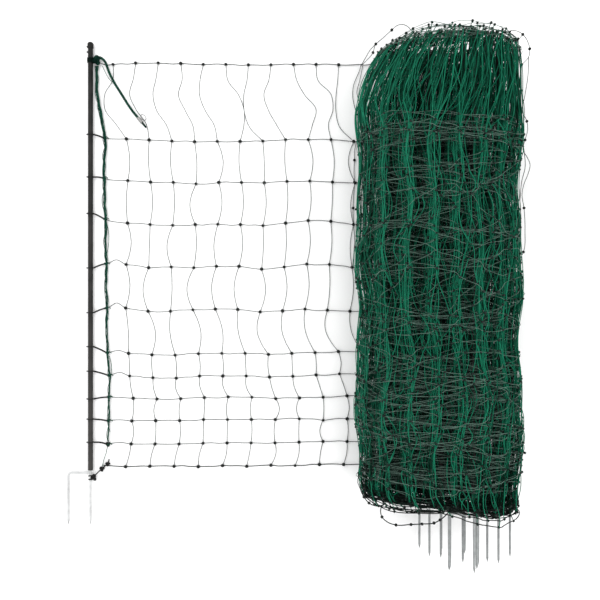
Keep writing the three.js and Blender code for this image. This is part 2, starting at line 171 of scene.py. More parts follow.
# Copies of one small shape: turns is copies x 3 x 3, places is copies x 3
def copies(shape, places, turns, tone=0.5):
    places = np.asarray(places, float)
    many = len(places)
    points = np.einsum("cij,vj->cvi", turns, shape["points"]) + places[:, None, :]
    base = (np.arange(many) * len(shape["points"]))[:, None]
    tones = np.broadcast_to(np.reshape(tone, (-1, 1)), (many, len(shape["points"])))
    return {
        "points": points.reshape(-1, 3),
        "loops": (base + shape["loops"][None, :]).reshape(-1),
        "sizes": np.tile(shape["sizes"], many),
        "uv": np.tile(shape["uv"], (many, 1)),
        "tone": tones.reshape(-1),
    }


def joined(shapes):
    offset = 0
    loops = []
    for shape in shapes:
        loops.append(shape["loops"] + offset)
        offset += len(shape["points"])
    made = {key: np.concatenate([shape[key] for shape in shapes])
            for key in ("points", "sizes", "uv", "tone")}
    made["loops"] = np.concatenate(loops)
    return made


def addPiece(name, shape, material, replaced=()):
    mesh = bpy.data.meshes.new(name)
    mesh.vertices.add(len(shape["points"]))
    mesh.vertices.foreach_set("co", toFrame(shape["points"]).astype(np.float32).reshape(-1))
    mesh.loops.add(len(shape["loops"]))
    mesh.loops.foreach_set("vertex_index", shape["loops"].astype(np.int32))
    starts = np.concatenate([[0], np.cumsum(shape["sizes"])[:-1]])
    mesh.polygons.add(len(shape["sizes"]))
    mesh.polygons.foreach_set("loop_start", starts.astype(np.int32))
    mesh.polygons.foreach_set("use_smooth", np.ones(len(shape["sizes"]), bool))
    lay = mesh.uv_layers.new(name="lay")
    lay.data.foreach_set("uv", shape["uv"].astype(np.float32).reshape(-1))
    tone = mesh.attributes.new("tone", "FLOAT", "POINT")
    tone.data.foreach_set("value", shape["tone"].astype(np.float32))
    mesh.update(calc_edges=True)
    mesh.validate()
    mesh.materials.append(material)
    piece = bpy.data.objects.new(name, mesh)
    bpy.context.scene.collection.objects.link(piece)
    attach(piece, "root")
    if replaced:
        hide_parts(*replaced)
    triangles = int((shape["sizes"] - 2).sum())
    print(name, triangles, "triangles")
    return piece


# Twisted cord: plies wound around a route, thickness given at each of its points
def plies(route, thickness, count, lay, tone, sides=6):
    route = np.asarray(route, float)
    length = np.concatenate([[0], np.cumsum(np.linalg.norm(np.diff(route, axis=0), axis=1))])
    tangents = unit(np.gradient(route, axis=0))
    sideways = unit(np.cross(tangents, (0, 0, 1)))
    upwards = np.cross(sideways, tangents)
    thickness = np.broadcast_to(thickness, len(route))
    made = []
    for ply in range(count):
        angle = length / lay * 2 * math.pi + ply * 2 * math.pi / count
        offset = np.cos(angle)[:, None] * sideways + np.sin(angle)[:, None] * upwards
        path = route + offset * (thickness * 0.25)[:, None]
        made.append(strands(path[None], (thickness * 0.6)[None], sides, tone + 0.14 * ply - 0.14))
    return joined(made)


# Materials
def newGroup(name, inputs, outputs):
    group = bpy.data.node_groups.new(name, "ShaderNodeTree")
    for label, kind, value in inputs:
        socket = group.interface.new_socket(label, in_out="INPUT", socket_type=kind)
        if value is not None:
            socket.default_value = value
    for label, kind in outputs:
        group.interface.new_socket(label, in_out="OUTPUT", socket_type=kind)
    return group, group.nodes.new("NodeGroupInput"), group.nodes.new("NodeGroupOutput")


def mathNode(tree, operation, first, second=None):
    node = tree.nodes.new("ShaderNodeMath")
    node.operation = operation
    for index, value in enumerate((first, second)):
        if value is None:
            continue
        if isinstance(value, (int, float)):
            node.inputs[index].default_value = value
        else:
            tree.links.new(value, node.inputs[index])
    return node.outputs[0]


# The lay of a twisted strand: ridges that wind around it
def makeTwist():
    group, inside, out = newGroup(
        "strandTwist",
        [("Vector", "NodeSocketVector", None), ("Plies", "NodeSocketFloat", 3.0),
         ("Turns per metre", "NodeSocketFloat", 110.0)],
        [("Ridge", "NodeSocketFloat")],
    )
    split = group.nodes.new("ShaderNodeSeparateXYZ")
    group.links.new(inside.outputs["Vector"], split.inputs[0])
    around = mathNode(group, "MULTIPLY", split.outputs["X"], inside.outputs["Plies"])
    onward = mathNode(group, "MULTIPLY", split.outputs["Y"], inside.outputs["Turns per metre"])
    both = mathNode(group, "ADD", around, onward)
    wave = mathNode(group, "SINE", mathNode(group, "MULTIPLY", both, math.pi))
    group.links.new(mathNode(group, "ABSOLUTE", wave), out.inputs["Ridge"])
    return group


# Uneven colour: cloudy change over the surface between two colours
def makeMottle():
    group, inside, out = newGroup(
        "mottle",
        [("Vector", "NodeSocketVector", None), ("Scale", "NodeSocketFloat", 40.0),
         ("Dark", "NodeSocketColor", (0, 0, 0, 1)), ("Light", "NodeSocketColor", (1, 1, 1, 1)),
         ("Shift", "NodeSocketFloat", 0.5)],
        [("Color", "NodeSocketColor")],
    )
    noise = group.nodes.new("ShaderNodeTexNoise")
    noise.inputs["Detail"].default_value = 3
    group.links.new(inside.outputs["Vector"], noise.inputs["Vector"])
    group.links.new(inside.outputs["Scale"], noise.inputs["Scale"])
    spread = mathNode(group, "MULTIPLY", mathNode(group, "SUBTRACT", noise.outputs["Fac"], 0.5), 1.2)
    mask = mathNode(group, "ADD", spread, inside.outputs["Shift"])
    mix = group.nodes.new("ShaderNodeMix")
    mix.data_type = "RGBA"
    mix.clamp_factor = True
    group.links.new(mask, mix.inputs["Factor"])
    group.links.new(inside.outputs["Dark"], mix.inputs["A"])
    group.links.new(inside.outputs["Light"], mix.inputs["B"])
    group.links.new(mix.outputs["Result"], out.inputs["Color"])
    return group


twistGroup = makeTwist()
mottleGroup = makeMottle()


def newMaterial(name, roughness, metallic=0.0, gloss=0.2):
    material = bpy.data.materials.new(name)
    material.use_nodes = True
    tree = material.node_tree
    shader = tree.nodes["Principled BSDF"]
    shader.inputs["Roughness"].default_value = roughness
    shader.inputs["Metallic"].default_value = metallic
    shader.inputs["Specular IOR Level"].default_value = gloss
    return material, tree, shader


# A twisted strand: painted shade in the grooves between its plies and painted light on their crowns, its
# tone set strand by strand
def strandMaterial(name, dark, light, roughness, plies, turns, bump, plyLightAndShadeStrength=0.35):
    material, tree, shader = newMaterial(name, roughness, gloss=0.06)
    lay = tree.nodes.new("ShaderNodeUVMap")
    lay.uv_map = "lay"
    twist = tree.nodes.new("ShaderNodeGroup")
    twist.node_tree = twistGroup
    twist.inputs["Plies"].default_value = plies
    twist.inputs["Turns per metre"].default_value = turns
    tree.links.new(lay.outputs["UV"], twist.inputs["Vector"])
    # the tone attribute: each strand's own tone; on the rolled net it also holds painted light in the
    # bands and painted shade between them and on the inner turns
    tone = tree.nodes.new("ShaderNodeAttribute")
    tone.attribute_name = "tone"
    place = tree.nodes.new("ShaderNodeTexCoord")
    mottle = tree.nodes.new("ShaderNodeGroup")
    mottle.node_tree = mottleGroup
    mottle.inputs["Scale"].default_value = 60
    mottle.inputs["Dark"].default_value = (*dark, 1)
    mottle.inputs["Light"].default_value = (*light, 1)
    tree.links.new(place.outputs["Object"], mottle.inputs["Vector"])
    # painted shade in the grooves between the plies and painted light on their crowns
    plyLightAndShade = mathNode(tree, "MULTIPLY", mathNode(tree, "SUBTRACT", twist.outputs["Ridge"], 0.6), plyLightAndShadeStrength)
    shade = mathNode(tree, "ADD", tone.outputs["Fac"], plyLightAndShade)
    tree.links.new(shade, mottle.inputs["Shift"])
    tree.links.new(mottle.outputs["Color"], shader.inputs["Base Color"])
    relief = tree.nodes.new("ShaderNodeBump")
    relief.inputs["Strength"].default_value = 0.6
    relief.inputs["Distance"].default_value = bump
    tree.links.new(twist.outputs["Ridge"], relief.inputs["Height"])
    tree.links.new(relief.outputs["Normal"], shader.inputs["Normal"])
    return material


# A moulded or drawn surface: uneven colour and a fine grain. fade is two places up the piece, in the
# frame's metres, and the share of the light colour at each.
def solidMaterial(name, dark, light, roughness, scale, metallic=0.0, grain=0.0002, fade=None):
    material, tree, shader = newMaterial(name, roughness, metallic)
    place = tree.nodes.new("ShaderNodeTexCoord")
    mottle = tree.nodes.new("ShaderNodeGroup")
    mottle.node_tree = mottleGroup
    mottle.inputs["Scale"].default_value = scale
    mottle.inputs["Dark"].default_value = (*dark, 1)
    mottle.inputs["Light"].default_value = (*light, 1)
    tree.links.new(place.outputs["Object"], mottle.inputs["Vector"])
    if fade:
        split = tree.nodes.new("ShaderNodeSeparateXYZ")
        tree.links.new(place.outputs["Object"], split.inputs[0])
        reach = tree.nodes.new("ShaderNodeMapRange")
        for label, value in zip(("From Min", "From Max", "To Min", "To Max"), fade):
            reach.inputs[label].default_value = value
        tree.links.new(split.outputs["Y"], reach.inputs["Value"])
        tree.links.new(reach.outputs["Result"], mottle.inputs["Shift"])
    tree.links.new(mottle.outputs["Color"], shader.inputs["Base Color"])
    fine = tree.nodes.new("ShaderNodeTexNoise")
    fine.inputs["Scale"].default_value = scale * 8
    tree.links.new(place.outputs["Object"], fine.inputs["Vector"])
    relief = tree.nodes.new("ShaderNodeBump")
    relief.inputs["Strength"].default_value = 0.4
    relief.inputs["Distance"].default_value = grain
    tree.links.new(fine.outputs["Fac"], relief.inputs["Height"])
    tree.links.new(relief.outputs["Normal"], shader.inputs["Normal"])
    return material


twineGreen = strandMaterial(
    "twine_green", (0.0, 0.01, 0.005), (0.011, 0.19, 0.105), 0.6, 2, 120, 0.0004)
polywireGrey = strandMaterial(
    "polywire_grey", (0.006, 0.022, 0.016), (0.14, 0.225, 0.185), 0.55, 3, 100, 0.0004)
groundBlack = strandMaterial(
    "ground_line_black", (0.001, 0.003, 0.002), (0.012, 0.022, 0.018), 0.6, 3, 100, 0.0004)
panelGrey = strandMaterial(
    "panel_polywire", (0.004, 0.01, 0.008), (0.02, 0.036, 0.031), 0.6, 3, 100, 0.0004, 0.1)
cordGreen = strandMaterial(
    "cord_green", (0.001, 0.016, 0.01), (0.014, 0.08, 0.05), 0.65, 3, 90, 0.0006)
knotGreen = strandMaterial(
    "knot_green", (0.0, 0.006, 0.004), (0.008, 0.06, 0.038), 0.6, 3, 120, 0.0006)
knotBlack = solidMaterial("knot_black", (0.001, 0.002, 0.0015), (0.006, 0.009, 0.008), 0.5, 220)
rolledKnotBlack = solidMaterial(
    "rolled_knot_black", (0.001, 0.004, 0.003), (0.006, 0.018, 0.013), 0.5, 220)
tieBlack = solidMaterial("tie_black", (0.002, 0.002, 0.002), (0.008, 0.008, 0.008), 0.5, 200)
# the post is darkest at its top and paler towards its foot; the spikes' ground tips are darker
postPlastic = solidMaterial(
    "post_plastic", (0.003, 0.0035, 0.003), (0.04, 0.038, 0.036), 0.55, 30,
    fade=(-0.5, 0.55, 0.95, 0.1))
endSteel = solidMaterial(
    "end_post_zinc", (0.12, 0.12, 0.12), (0.6, 0.61, 0.61), 0.45, 60, 0.25,
    fade=(-0.643, -0.63, 0.1, 0.9))
zincSteel = solidMaterial(
    "zinc_steel", (0.09, 0.095, 0.095), (0.31, 0.325, 0.325), 0.4, 60, 0.3,
    fade=(-0.697, -0.682, 0.1, 0.8))
wireSteel = solidMaterial("wire_steel", (0.06, 0.06, 0.06), (0.16, 0.16, 0.16), 0.35, 200, 0.4)
stainlessSteel = solidMaterial(
    "stainless_steel", (0.16, 0.16, 0.155), (0.34, 0.34, 0.335), 0.35, 150, 0.5)
print("materials made")

# Free lead: it leaves the top knot and lies across the top line and the first upright
lead = {
    "thickness": 7,
    "plies": 3,
    "lay": 17,
    "route": [
        (24.6, 1131, 9.6), (30, 1130, 9.5), (36, 1126, 9.3), (41, 1119, 9), (44.5, 1110, 8.8),
        (48.5, 1099, 8.6), (53, 1087, 8.5), (59, 1075, 8.4), (66, 1062, 8.4), (74, 1049, 8.4),
        (83, 1035, 8.4), (93, 1019, 8.4), (103, 1003, 8.6), (112, 990, 8.9), (121, 978, 9.2),
        (131.5, 965.5, 9.3),
    ],
}


def leadPiece():
    route = smoothPath(lead["route"], 1.5)
    wound = plies(route, lead["thickness"], lead["plies"], lead["lay"], 0.42)
    cable = addPiece("connector_lead_cord", wound, cordGreen, ["connector_lead"])


leadPiece()
print("lead made")


# Net: its lines from the ground line up. up is a line's height, first and pitch place its knots,
# lift raises each knot, joint is how far above the line it leaves the gathered cord, hump the rise of
# its slack start, and bows the swing of each upright below it, to the right of a straight strand.
net = {
    "lineThickness": 1.9,
    "topLineThickness": 2.1,
    "groundLineThickness": 2.5,
    "uprightThickness": 1.7,
    "knotSize": 8.8,
    "high": 3.5,
    "knotHigh": 4.7,
    "end": 784,
    "lines": [
        {"up": 0, "first": 96, "pitch": 67.3, "lift": [-3, -2, -2, -3, 0, -2, 1, 0, 3, 3, 3]},
        {"up": 64, "first": 111, "pitch": 66.7, "joint": -4, "hump": 0,
         "lift": [-4, -4, -4, -2, -1, -1, -1, 1, 3, 3, 3],
         "bows": [2, -3, -2, -4, 4, 1, 8, 5, -2, 4, 3]},
        {"up": 127, "first": 113, "pitch": 66.5, "joint": -2, "hump": 0,
         "lift": [-3, -2, -2, 1, 1, 1, 1, 3, -1, 3, 3],
         "bows": [6, 1, 3, 0, 0, 2, -3, -1, -9, 3, 2]},
        {"up": 189, "first": 117, "pitch": 66, "joint": 2, "hump": 0,
         "lift": [-2, -4, -3, 0, 2, 1, -3, -1, 1, 5, 4],
         "bows": [3, -7, -3, 1, -4, -4, 11, -8, 2, 6, 3]},
        {"up": 249, "first": 107, "pitch": 64.8, "joint": 2, "hump": 10,
         "lift": [0, -5, -6, 0, 0, 0, -3, -1, 3, 6, 6],
         "bows": [-2, -4, -8, -6, -7, -8, -2, -5, 0, 1, 0]},
        {"up": 312, "first": 104, "pitch": 64.8, "joint": 2, "hump": 8,
         "lift": [0, -4, -5, -1, 0, 0, -3, 0, 2, 5, 4],
         "bows": [1, -2, 2, 3, 3, 0, -3, 0, 2, 6, 3]},
        {"up": 432, "first": 96, "pitch": 62.3, "joint": 6, "hump": 20,
         "lift": [6, -3, -3, 1, 3, 2, -5, -2, 3, 0, -3],
         "bows": [3, 15, -8, 14, 11, -9, -19, -14, -13, -20, -12]},
        {"up": 554, "first": 97, "pitch": 62.8, "joint": 7, "hump": 18,
         "lift": [5, -4, -2, -4, 0, 0, -8, -2, 6, 5, -3],
         "bows": [11, -15, 3, -18, -12, -12, 13, 10, 9, 4, 7]},
        {"up": 674, "first": 101, "pitch": 62.8, "joint": 11, "hump": 3,
         "lift": [0, -4, -6, -4, -3, -4, -7, 0, 7, 5, -4],
         "bows": [12, 0, -14, 5, -9, 8, 3, 4, 8, 5, -7]},
        {"up": 789, "first": 102, "pitch": 63.2, "joint": 10, "hump": 4,
         "lift": [3, -1, -2, -6, -2, -2, -3, 1, 2, -1, -3],
         "bows": [-4, 6, 4, -16, 10, 7, 7, 4, 6, 2, -10]},
        {"up": 905, "first": 98, "pitch": 63.2, "joint": 5, "hump": 3,
         "lift": [3, 0, -3, -5, -4, -4, -3, 1, 1, 1, -4],
         "bows": [7, -4, -6, 4, 14, -5, 2, -4, 11, 7, -17]},
        {"up": 1115, "first": 61, "pitch": 62.7, "lift": [0, 4, 4, 3, 0, 0, -1, -1, 0, 0, -1],
         "bows": [
             [-8, -38, -45, -22], [-14, -32, -22, 0], [-14, -30, -28, -7], [-4, -22, -11, 3],
             [-17, -26, -18, 0], [-3, 20, 27, 18], [-12, -29, -36, -31], [-14, -36, -32, -17],
             [0, 14, 38, 20], [-4, 25, 22, 1], [-11, -24, -33, -32]]},
    ],
}
uprightCount = 11
topLine = len(net["lines"]) - 1

# Gathered cord's route: right of the post's axis, and up
cordRoute = [
    (15, 1110), (16, 1055), (23, 995), (31, 955), (39, 905), (37, 850), (36, 789), (39, 735),
    (40, 674), (41, 610), (42, 554), (43, 490), (44, 432), (44, 370), (46, 312), (51, 249),
    (50, 189), (49, 127), (48, 64),
]


def cordAcross(up):
    route = np.array(cordRoute[::-1], float)
    return float(np.interp(up, route[:, 1], route[:, 0]))


def knotPlace(row, column):
    line = net["lines"][row]
    lift = line["lift"][column] if column < len(line["lift"]) else 0
    return np.array([line["first"] + line["pitch"] * column, line["up"] + lift, net["high"]])


def lineStart(row):
    line = net["lines"][row]
    if row == 0:
        return [(34, 1, 5)]
    if row == topLine:
        return [(22, line["up"] + 4, 9), (40, line["up"] - 1, 4)]
    left = cordAcross(line["up"] + line["joint"])
    middle = (left + line["first"]) / 2
    return [
        (left, line["up"] + line["joint"], 5),
        (left + 8, line["up"] + line["joint"] * 0.6 + line["hump"] * 0.3, 4),
        (middle, line["up"] + line["hump"], net["high"]),
    ]


def panelStrands():
    shapes = []
    for row, line in enumerate(net["lines"]):
        thickness = net["lineThickness"]
        if row == topLine:
            thickness = net["topLineThickness"]
        if row == 0:
            thickness = net["groundLineThickness"]
        points = list(lineStart(row))
        points += [knotPlace(row, column) for column in range(uprightCount + 1)
                   if knotPlace(row, column)[0] < net["end"] - 6]
        points.append((net["end"], line["up"], net["high"]))
        soft = []
        for index, (near, far) in enumerate(zip(points[:-1], points[1:])):
            near, far = np.array(near, float), np.array(far, float)
            soft.append(near)
            if index >= len(lineStart(row)):
                wave = chance.normal(0, 1.1)
                soft.append(near * 0.66 + far * 0.34 + (0, wave, 0))
                soft.append(near * 0.34 + far * 0.66 + (0, wave * 0.5 + chance.normal(0, 0.8), 0))
        soft.append(np.array(points[-1], float))
        tone = 0.15 if row in (0, topLine) else 0.5
        shapes.append(strands(smoothPath(soft, 4), thickness, 6, tone))
    for column in range(uprightCount):
        for row in range(1, topLine + 1):
            low, high = knotPlace(row - 1, column), knotPlace(row, column)
            bow = net["lines"][row]["bows"][column]
            if isinstance(bow, list):
                offsets = [0, *bow[::-1], 0]
            else:
                offsets = [bow * math.sin(math.pi * step / 4) for step in range(5)]
            steps = len(offsets) - 1
            points = [low + (high - low) * step / steps + (offset, 0, 0)
                      for step, offset in enumerate(offsets)]
            tone = 0.2 if row == 1 else 0.55
            shapes.append(strands(smoothPath(points, 4), net["uprightThickness"], 6, tone))
    return joined(shapes)


# A modelled piece's mesh as a plain shape; the piece itself is taken away
def shapeFrom(piece, points):
    loops = np.array([loop.vertex_index for loop in piece.data.loops])
    sizes = np.array([len(face.vertices) for face in piece.data.polygons])
    bpy.data.objects.remove(piece)
    return {"points": points, "loops": loops, "sizes": sizes, "uv": np.zeros((len(loops), 2))}


# One knot of the net, modelled once: a moulded bead, a little longer along the line
def knotShape(size):
    bpy.ops.object.select_all(action="DESELECT")
    bpy.ops.mesh.primitive_cube_add(size=1)
    cube = bpy.context.object
    modifier = cube.modifiers.new("round", "SUBSURF")
    modifier.levels = modifier.render_levels = 2
    bpy.ops.object.modifier_apply(modifier="round")
    points = np.array([v.co for v in cube.data.vertices])
    points *= np.array([1.06, 1.0, 0.94]) * size / np.ptp(points[:, 0])
    return shapeFrom(cube, points)


def turnsFrom(angles):
    return np.array([np.array(Matrix.Rotation(angle, 3, "Z")) for angle in angles])


def panelKnots():
    bead = knotShape(net["knotSize"])
    places = np.array([knotPlace(row, column)
                       for row in range(topLine + 1) for column in range(uprightCount)])
    places[:, 2] = net["knotHigh"]
    sizes = chance.uniform(0.9, 1.1, len(places))
    turns = turnsFrom(chance.normal(0, 0.2, len(places))) * sizes[:, None, None]
    return copies(bead, places, turns)


addPiece("panel_strands", panelStrands(), panelGrey, ["netting_panel"])
addPiece("panel_knots", panelKnots(), knotBlack)


# Gathered cord: twisted plies down the net's edge, with loose strands and small loops beside it
gathered = {
    "high": 6,
    "thickness": [(0, 1.6), (56, 2.2), (127, 2.8), (249, 3.2), (432, 4.2), (674, 5.2), (905, 6.2),
                  (1110, 6.6)],
    "plies": 3,
    "lay": 30,
    "wobble": [(0.9, 17), (0.6, 7.3)],
    # strands beside it: their side, where their swing starts and how far they reach
    "strays": [(1, 0.4, 2.6), (-1, 2.1, 3.0), (1, 4.4, 1.4)],
    "strayThickness": 1.6,
    "endThickness": 1.8,
    # at each line, two turns around it and a tuft
    "wrapAcross": 4.4,
    "wrapHigh": 3.6,
    "wrapThickness": 2.4,
    "tuft": [(0, 2, 2), (6, 3, 2), (11, -1, 0)],
    "end": [(42, 36), (35, 14), (31, -4)],
    "loops": [
        [(102.5, 66), (104.6, 71), (107.4, 76.4), (110.6, 80.6), (114, 82.6)],
        [(98, 108), (100, 118), (102.6, 128), (105, 140)],
        [(105.6, 188), (102.4, 196), (102.6, 206), (106, 215)],
        [(106.4, 222), (108.6, 232), (108.4, 246), (106, 258)],
        [(108.4, 318), (105.8, 326), (106, 338), (108.8, 350)],
        [(107, 270), (104.6, 282), (105.4, 298), (108, 310)],
        [(109.4, 356), (111.6, 366), (111, 376), (109, 392)],
        [(109, 400), (107.4, 410), (108, 420), (110, 432)],
    ],
}


def gatheredCord():
    route = [(x, up, gathered["high"]) for x, up in cordRoute]
    path = smoothPath(route, 3)
    path[:, 0] += sum(swing * np.sin(path[:, 1] / wave) for swing, wave in gathered["wobble"])
    size = np.interp(path[:, 1], *zip(*gathered["thickness"]))
    made = [plies(path, size, gathered["plies"], gathered["lay"], 0.35, 8)]
    for side, phase, reach in gathered["strays"]:
        stray = path[::2].copy()
        swing = np.sin(stray[:, 1] / 41 + phase) * np.sin(stray[:, 1] / 13 + phase * 2)
        stray[:, 0] += side * (size[::2] * 0.45 + reach * np.abs(swing))
        stray[:, 2] += 1.2 * side
        made.append(strands(stray, gathered["strayThickness"], 5, 0.8))
    last = [(*cordRoute[-1], gathered["high"])] + [(x, up, 5) for x, up in gathered["end"]]
    made.append(strands(smoothPath(last, 3), gathered["endThickness"], 6, 0.9))
    for places in gathered["loops"]:
        points = [seenAt(x, y, gathered["high"]) for x, y in places]
        made.append(strands(smoothPath(points, 3), gathered["strayThickness"], 5, 0.85))
    turn = np.linspace(0, 4 * math.pi, 26)
    for row in range(1, topLine):
        up = net["lines"][row]["up"] + net["lines"][row]["joint"]
        middle = np.array((cordAcross(up), up, gathered["high"]))
        wrap = np.stack([np.cos(turn) * gathered["wrapAcross"], turn * 0.5 - 3,
                         np.sin(turn) * gathered["wrapHigh"]], axis=-1) + middle
        made.append(strands(wrap, gathered["wrapThickness"], 6, 0.5))
        tuft = [middle + step for step in gathered["tuft"]]
        made.append(strands(smoothPath(tuft, 2), gathered["wrapThickness"], 6, 0.6))
    return joined(made)


# A round knot: one strand that passes over and under itself
def roundKnot(middle, size, thickness, tone, turn=0.0, sides=8):
    t = np.linspace(0, 2 * math.pi, 49)
    loop = np.stack([np.sin(t) + 2 * np.sin(2 * t), np.cos(t) - 2 * np.cos(2 * t), -np.sin(3 * t)],
                    axis=-1)
    loop = loop / 3 * np.asarray(size, float) / 2
    spin = np.array(Matrix.Rotation(turn, 3, "Z"))
    return strands(loop @ spin.T + np.asarray(middle, float), thickness, sides, tone)


# Top knot: the cord's turns around the post, and the hard knot that holds them
topTie = {
    "axis": 9.5,
    "radius": 8.2,
    "low": 1117,
    "high": 1132,
    "turns": 4,
    "thickness": 2.6,
    "knotAt": (16, 1125, 10),
    "knotSize": (19, 25, 12),
    "knotThickness": 6.6,
    "core": [(10, 1118, 10), (14, 1122, 12), (17, 1129, 12), (22, 1132, 10)],
    "coreThickness": 8,
    "bight": [(19, 1117, 7), (23, 1124, 11), (25, 1133, 11), (31, 1131, 10)],
    "bightThickness": 5,
}


def topKnot():
    turn = np.linspace(0, topTie["turns"] * 2 * math.pi, topTie["turns"] * 24)
    up = np.linspace(topTie["low"], topTie["high"], len(turn))
    across = np.cos(turn) * topTie["radius"]
    high = topTie["axis"] + np.sin(turn) * topTie["radius"]
    wraps = strands(np.stack([across, up, high], axis=-1), topTie["thickness"], 8, -0.3)
    hard = roundKnot(topTie["knotAt"], topTie["knotSize"], topTie["knotThickness"], 0.3, 0.5, 10)
    core = strands(topTie["core"], topTie["coreThickness"], 8, 0.15)
    bight = strands(smoothPath(topTie["bight"], 2), topTie["bightThickness"], 8, 0.3)
    return joined([wraps, hard, core, bight])


# Post ties: a ring around the post with a small end, and a black sleeve out to the cord
ties = {
    "axis": 9.5,
    "ring": 8.3,
    "ringThickness": 2.6,
    "nub": [(-8, 0), (-10, 0), (-10.9, -0.6)],
    "nubThickness": 3.8,
    "thickness": 4.4,
    "tone": 0.4,
}


def postTies():
    made = []
    turn = np.linspace(0, 2 * math.pi, 33)
    for row in range(1, topLine):
        line = net["lines"][row]
        low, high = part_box("post_tie_" + str(row + 1))
        jointUp = line["up"] + line["joint"]
        boxHigh = (high.y - frameOrigin[1]) * 1000
        boxLow = (low.y - frameOrigin[1]) * 1000
        rising = abs(boxLow - jointUp) > abs(boxHigh - jointUp)
        bandUp = boxLow + 2.5 if rising else boxHigh - 2.5
        ring = np.stack([np.cos(turn) * ties["ring"], bandUp + 0 * turn,
                         ties["axis"] + np.sin(turn) * ties["ring"]], axis=-1)
        made.append(strands(ring, ties["ringThickness"], 8, ties["tone"]))
        nub = [(across, bandUp + up, ties["axis"]) for across, up in ties["nub"]]
        made.append(strands(nub, ties["nubThickness"], 8, ties["tone"]))
        end = np.array([cordAcross(jointUp) - 2.5, jointUp, 6.5])
        start = np.array([8.5, bandUp, ties["axis"]])
        middle = (start + end) / 2 + (0, 2.4 if row == 1 else 1.0, 1)
        made.append(strands(smoothPath([start, middle, end], 3), ties["thickness"], 10, ties["tone"]))
        if row == 1:
            made.append(roundKnot(end + (2, 0, 0), (11, 11, 8), 4.6, ties["tone"]))
    return joined(made)


# Foot tie: the ground line's end wound twice around the spike, knotted on its way to the net
foot = {
    "turnUps": (-27.5, -37.5),
    "radius": 4.6,
    "thickness": 3.6,
    "axis": 9.5,
    "tone": 0.4,
    "line": [(6, -34, 10), (12, -27, 9), (20, -18, 7), (30.6, -8.7, 5.5), (39, -1, 5), (46, 4, 5),
             (49, 12, 5), (50, 18, 5)],
    "lineThickness": 3.4,
    # each knot's place, size, thickness and turn
    "knots": [((8.5, -31, 10), (13, 17, 9), 5.2, 0.6), ((30.6, -8.7, 5.5), (11, 12, 8), 4.2, 0),
              ((46.5, 4.5, 5.2), (10, 10, 7), 4.0, 0)],
}


def footTie():
    made = []
    turn = np.linspace(-0.4, 2 * math.pi - 0.3, 25)
    for up in foot["turnUps"]:
        ring = np.stack([np.cos(turn) * foot["radius"], up + np.sin(turn) * 1.5,
                         foot["axis"] + np.sin(turn) * foot["radius"]], axis=-1)
        made.append(strands(ring, foot["thickness"], 8, foot["tone"]))
    made.append(strands(smoothPath(foot["line"], 2), foot["lineThickness"], 8, foot["tone"]))
    for place, size, thickness, turned in foot["knots"]:
        made.append(roundKnot(place, size, thickness, foot["tone"], turned))
    return joined(made)


addPiece("gathered_cord_plies", gatheredCord(), cordGreen, ["gathered_cord"])
addPiece("top_knot_wraps", topKnot(), knotGreen, ["top_knot"])
addPiece("post_tie_sleeves", postTies(), tieBlack,
         ["post_tie_" + str(row + 1) for row in range(1, topLine)])
addPiece("foot_tie_cord", footTie(), tieBlack, ["foot_tie"])
print("ties made")


# Roll: the rest of the net, wound in flattened turns around the other posts
roll = {
    "left": 723,
    "right": 1156,
    "high": 280,
    "waist": 118,
    # the outermost turn lies a skin inside the edges, and the innermost about at the core's
    "skin": 4,
    "bottom": 3,
    "coreLeft": 800,
    "coreRight": 1096,
    "coreLow": 104,
    "coreHigh": 180,
    "coreWaist": 142,
    # the turns start at this angle, rounder above the waist than below it
    "startDegrees": 222,
    "squareness": (2.1, 3.0),
    "length": 48000,
    "pitch": 62.7,
    "uprightThickness": 2.35,
    "lineThickness": 1.5,
    "groundLineThickness": 2.8,
    "knotSize": 6.8,
    # the uprights of the upper side nest in bands
    "bandWidth": 58.3,
    "bandStart": 784,
    "bandPull": 0.72,
    "bandSway": (6, 130.0),
    "bandRipple": (4, 57.0, 90),
    "sway": [(5, 61.0, 97.0), (3, 31.0, -57.0)],
    # how far the left side leans in at each height, and how far the end corners drop
    "lean": [(-60, 30), (-36, 12), (-12, 0), (950, 0), (1030, 14), (1073, 28), (1110, 48), (1130, 60)],
    "footDrop": 24,
    "footAcross": (900, 1080),
    "footUp": (-30, 110),
    "rimDropLeft": 16,
    "rimDropRight": 14,
    "rimUp": (1000, 1110),
    # steps and swing of each kind of upright, and the share and tone of dark ones in the lowest rows
    "uprights": {"short": (6, 5), "tall": (9, 6), "top": (14, 21)},
    "tallFrom": 6,
    "darkUprights": {1: (0.4, -0.5), 2: (0.3, -0.2)},
    # tone: its start, a band's painted light (and painted shade between bands), the inner turns' painted
    # shade, and its limits
    "tone": (0.3, 0.22, 0.75),
    "toneLimits": (-0.4, 1.2),
    # each line's height on the roll and how far it wanders
    "lines": [(-37, 17), (30, 36), (100, 42), (170, 46), (236, 50), (304, 56), (416, 64), (536, 68),
              (652, 66), (764, 60), (870, 36), (1110, 12)],
}


def spiral():
    start = math.radians(roll["startDegrees"])
    low, high = 1.0, 80.0  # fewest and most turns tried
    for _ in range(24):
        turnsTried = (low + high) / 2
        angles = np.linspace(start, start + turnsTried * 2 * math.pi, 24000)
        places = spiralPlaces(angles, start, turnsTried)
        length = np.linalg.norm(np.diff(places, axis=0), axis=1).sum()
        if length > roll["length"]:
            high = turnsTried
        else:
            low = turnsTried
    along = np.concatenate([[0], np.cumsum(np.linalg.norm(np.diff(places, axis=0), axis=1))])
    print("turns", round(turnsTried, 1))
    return along, places


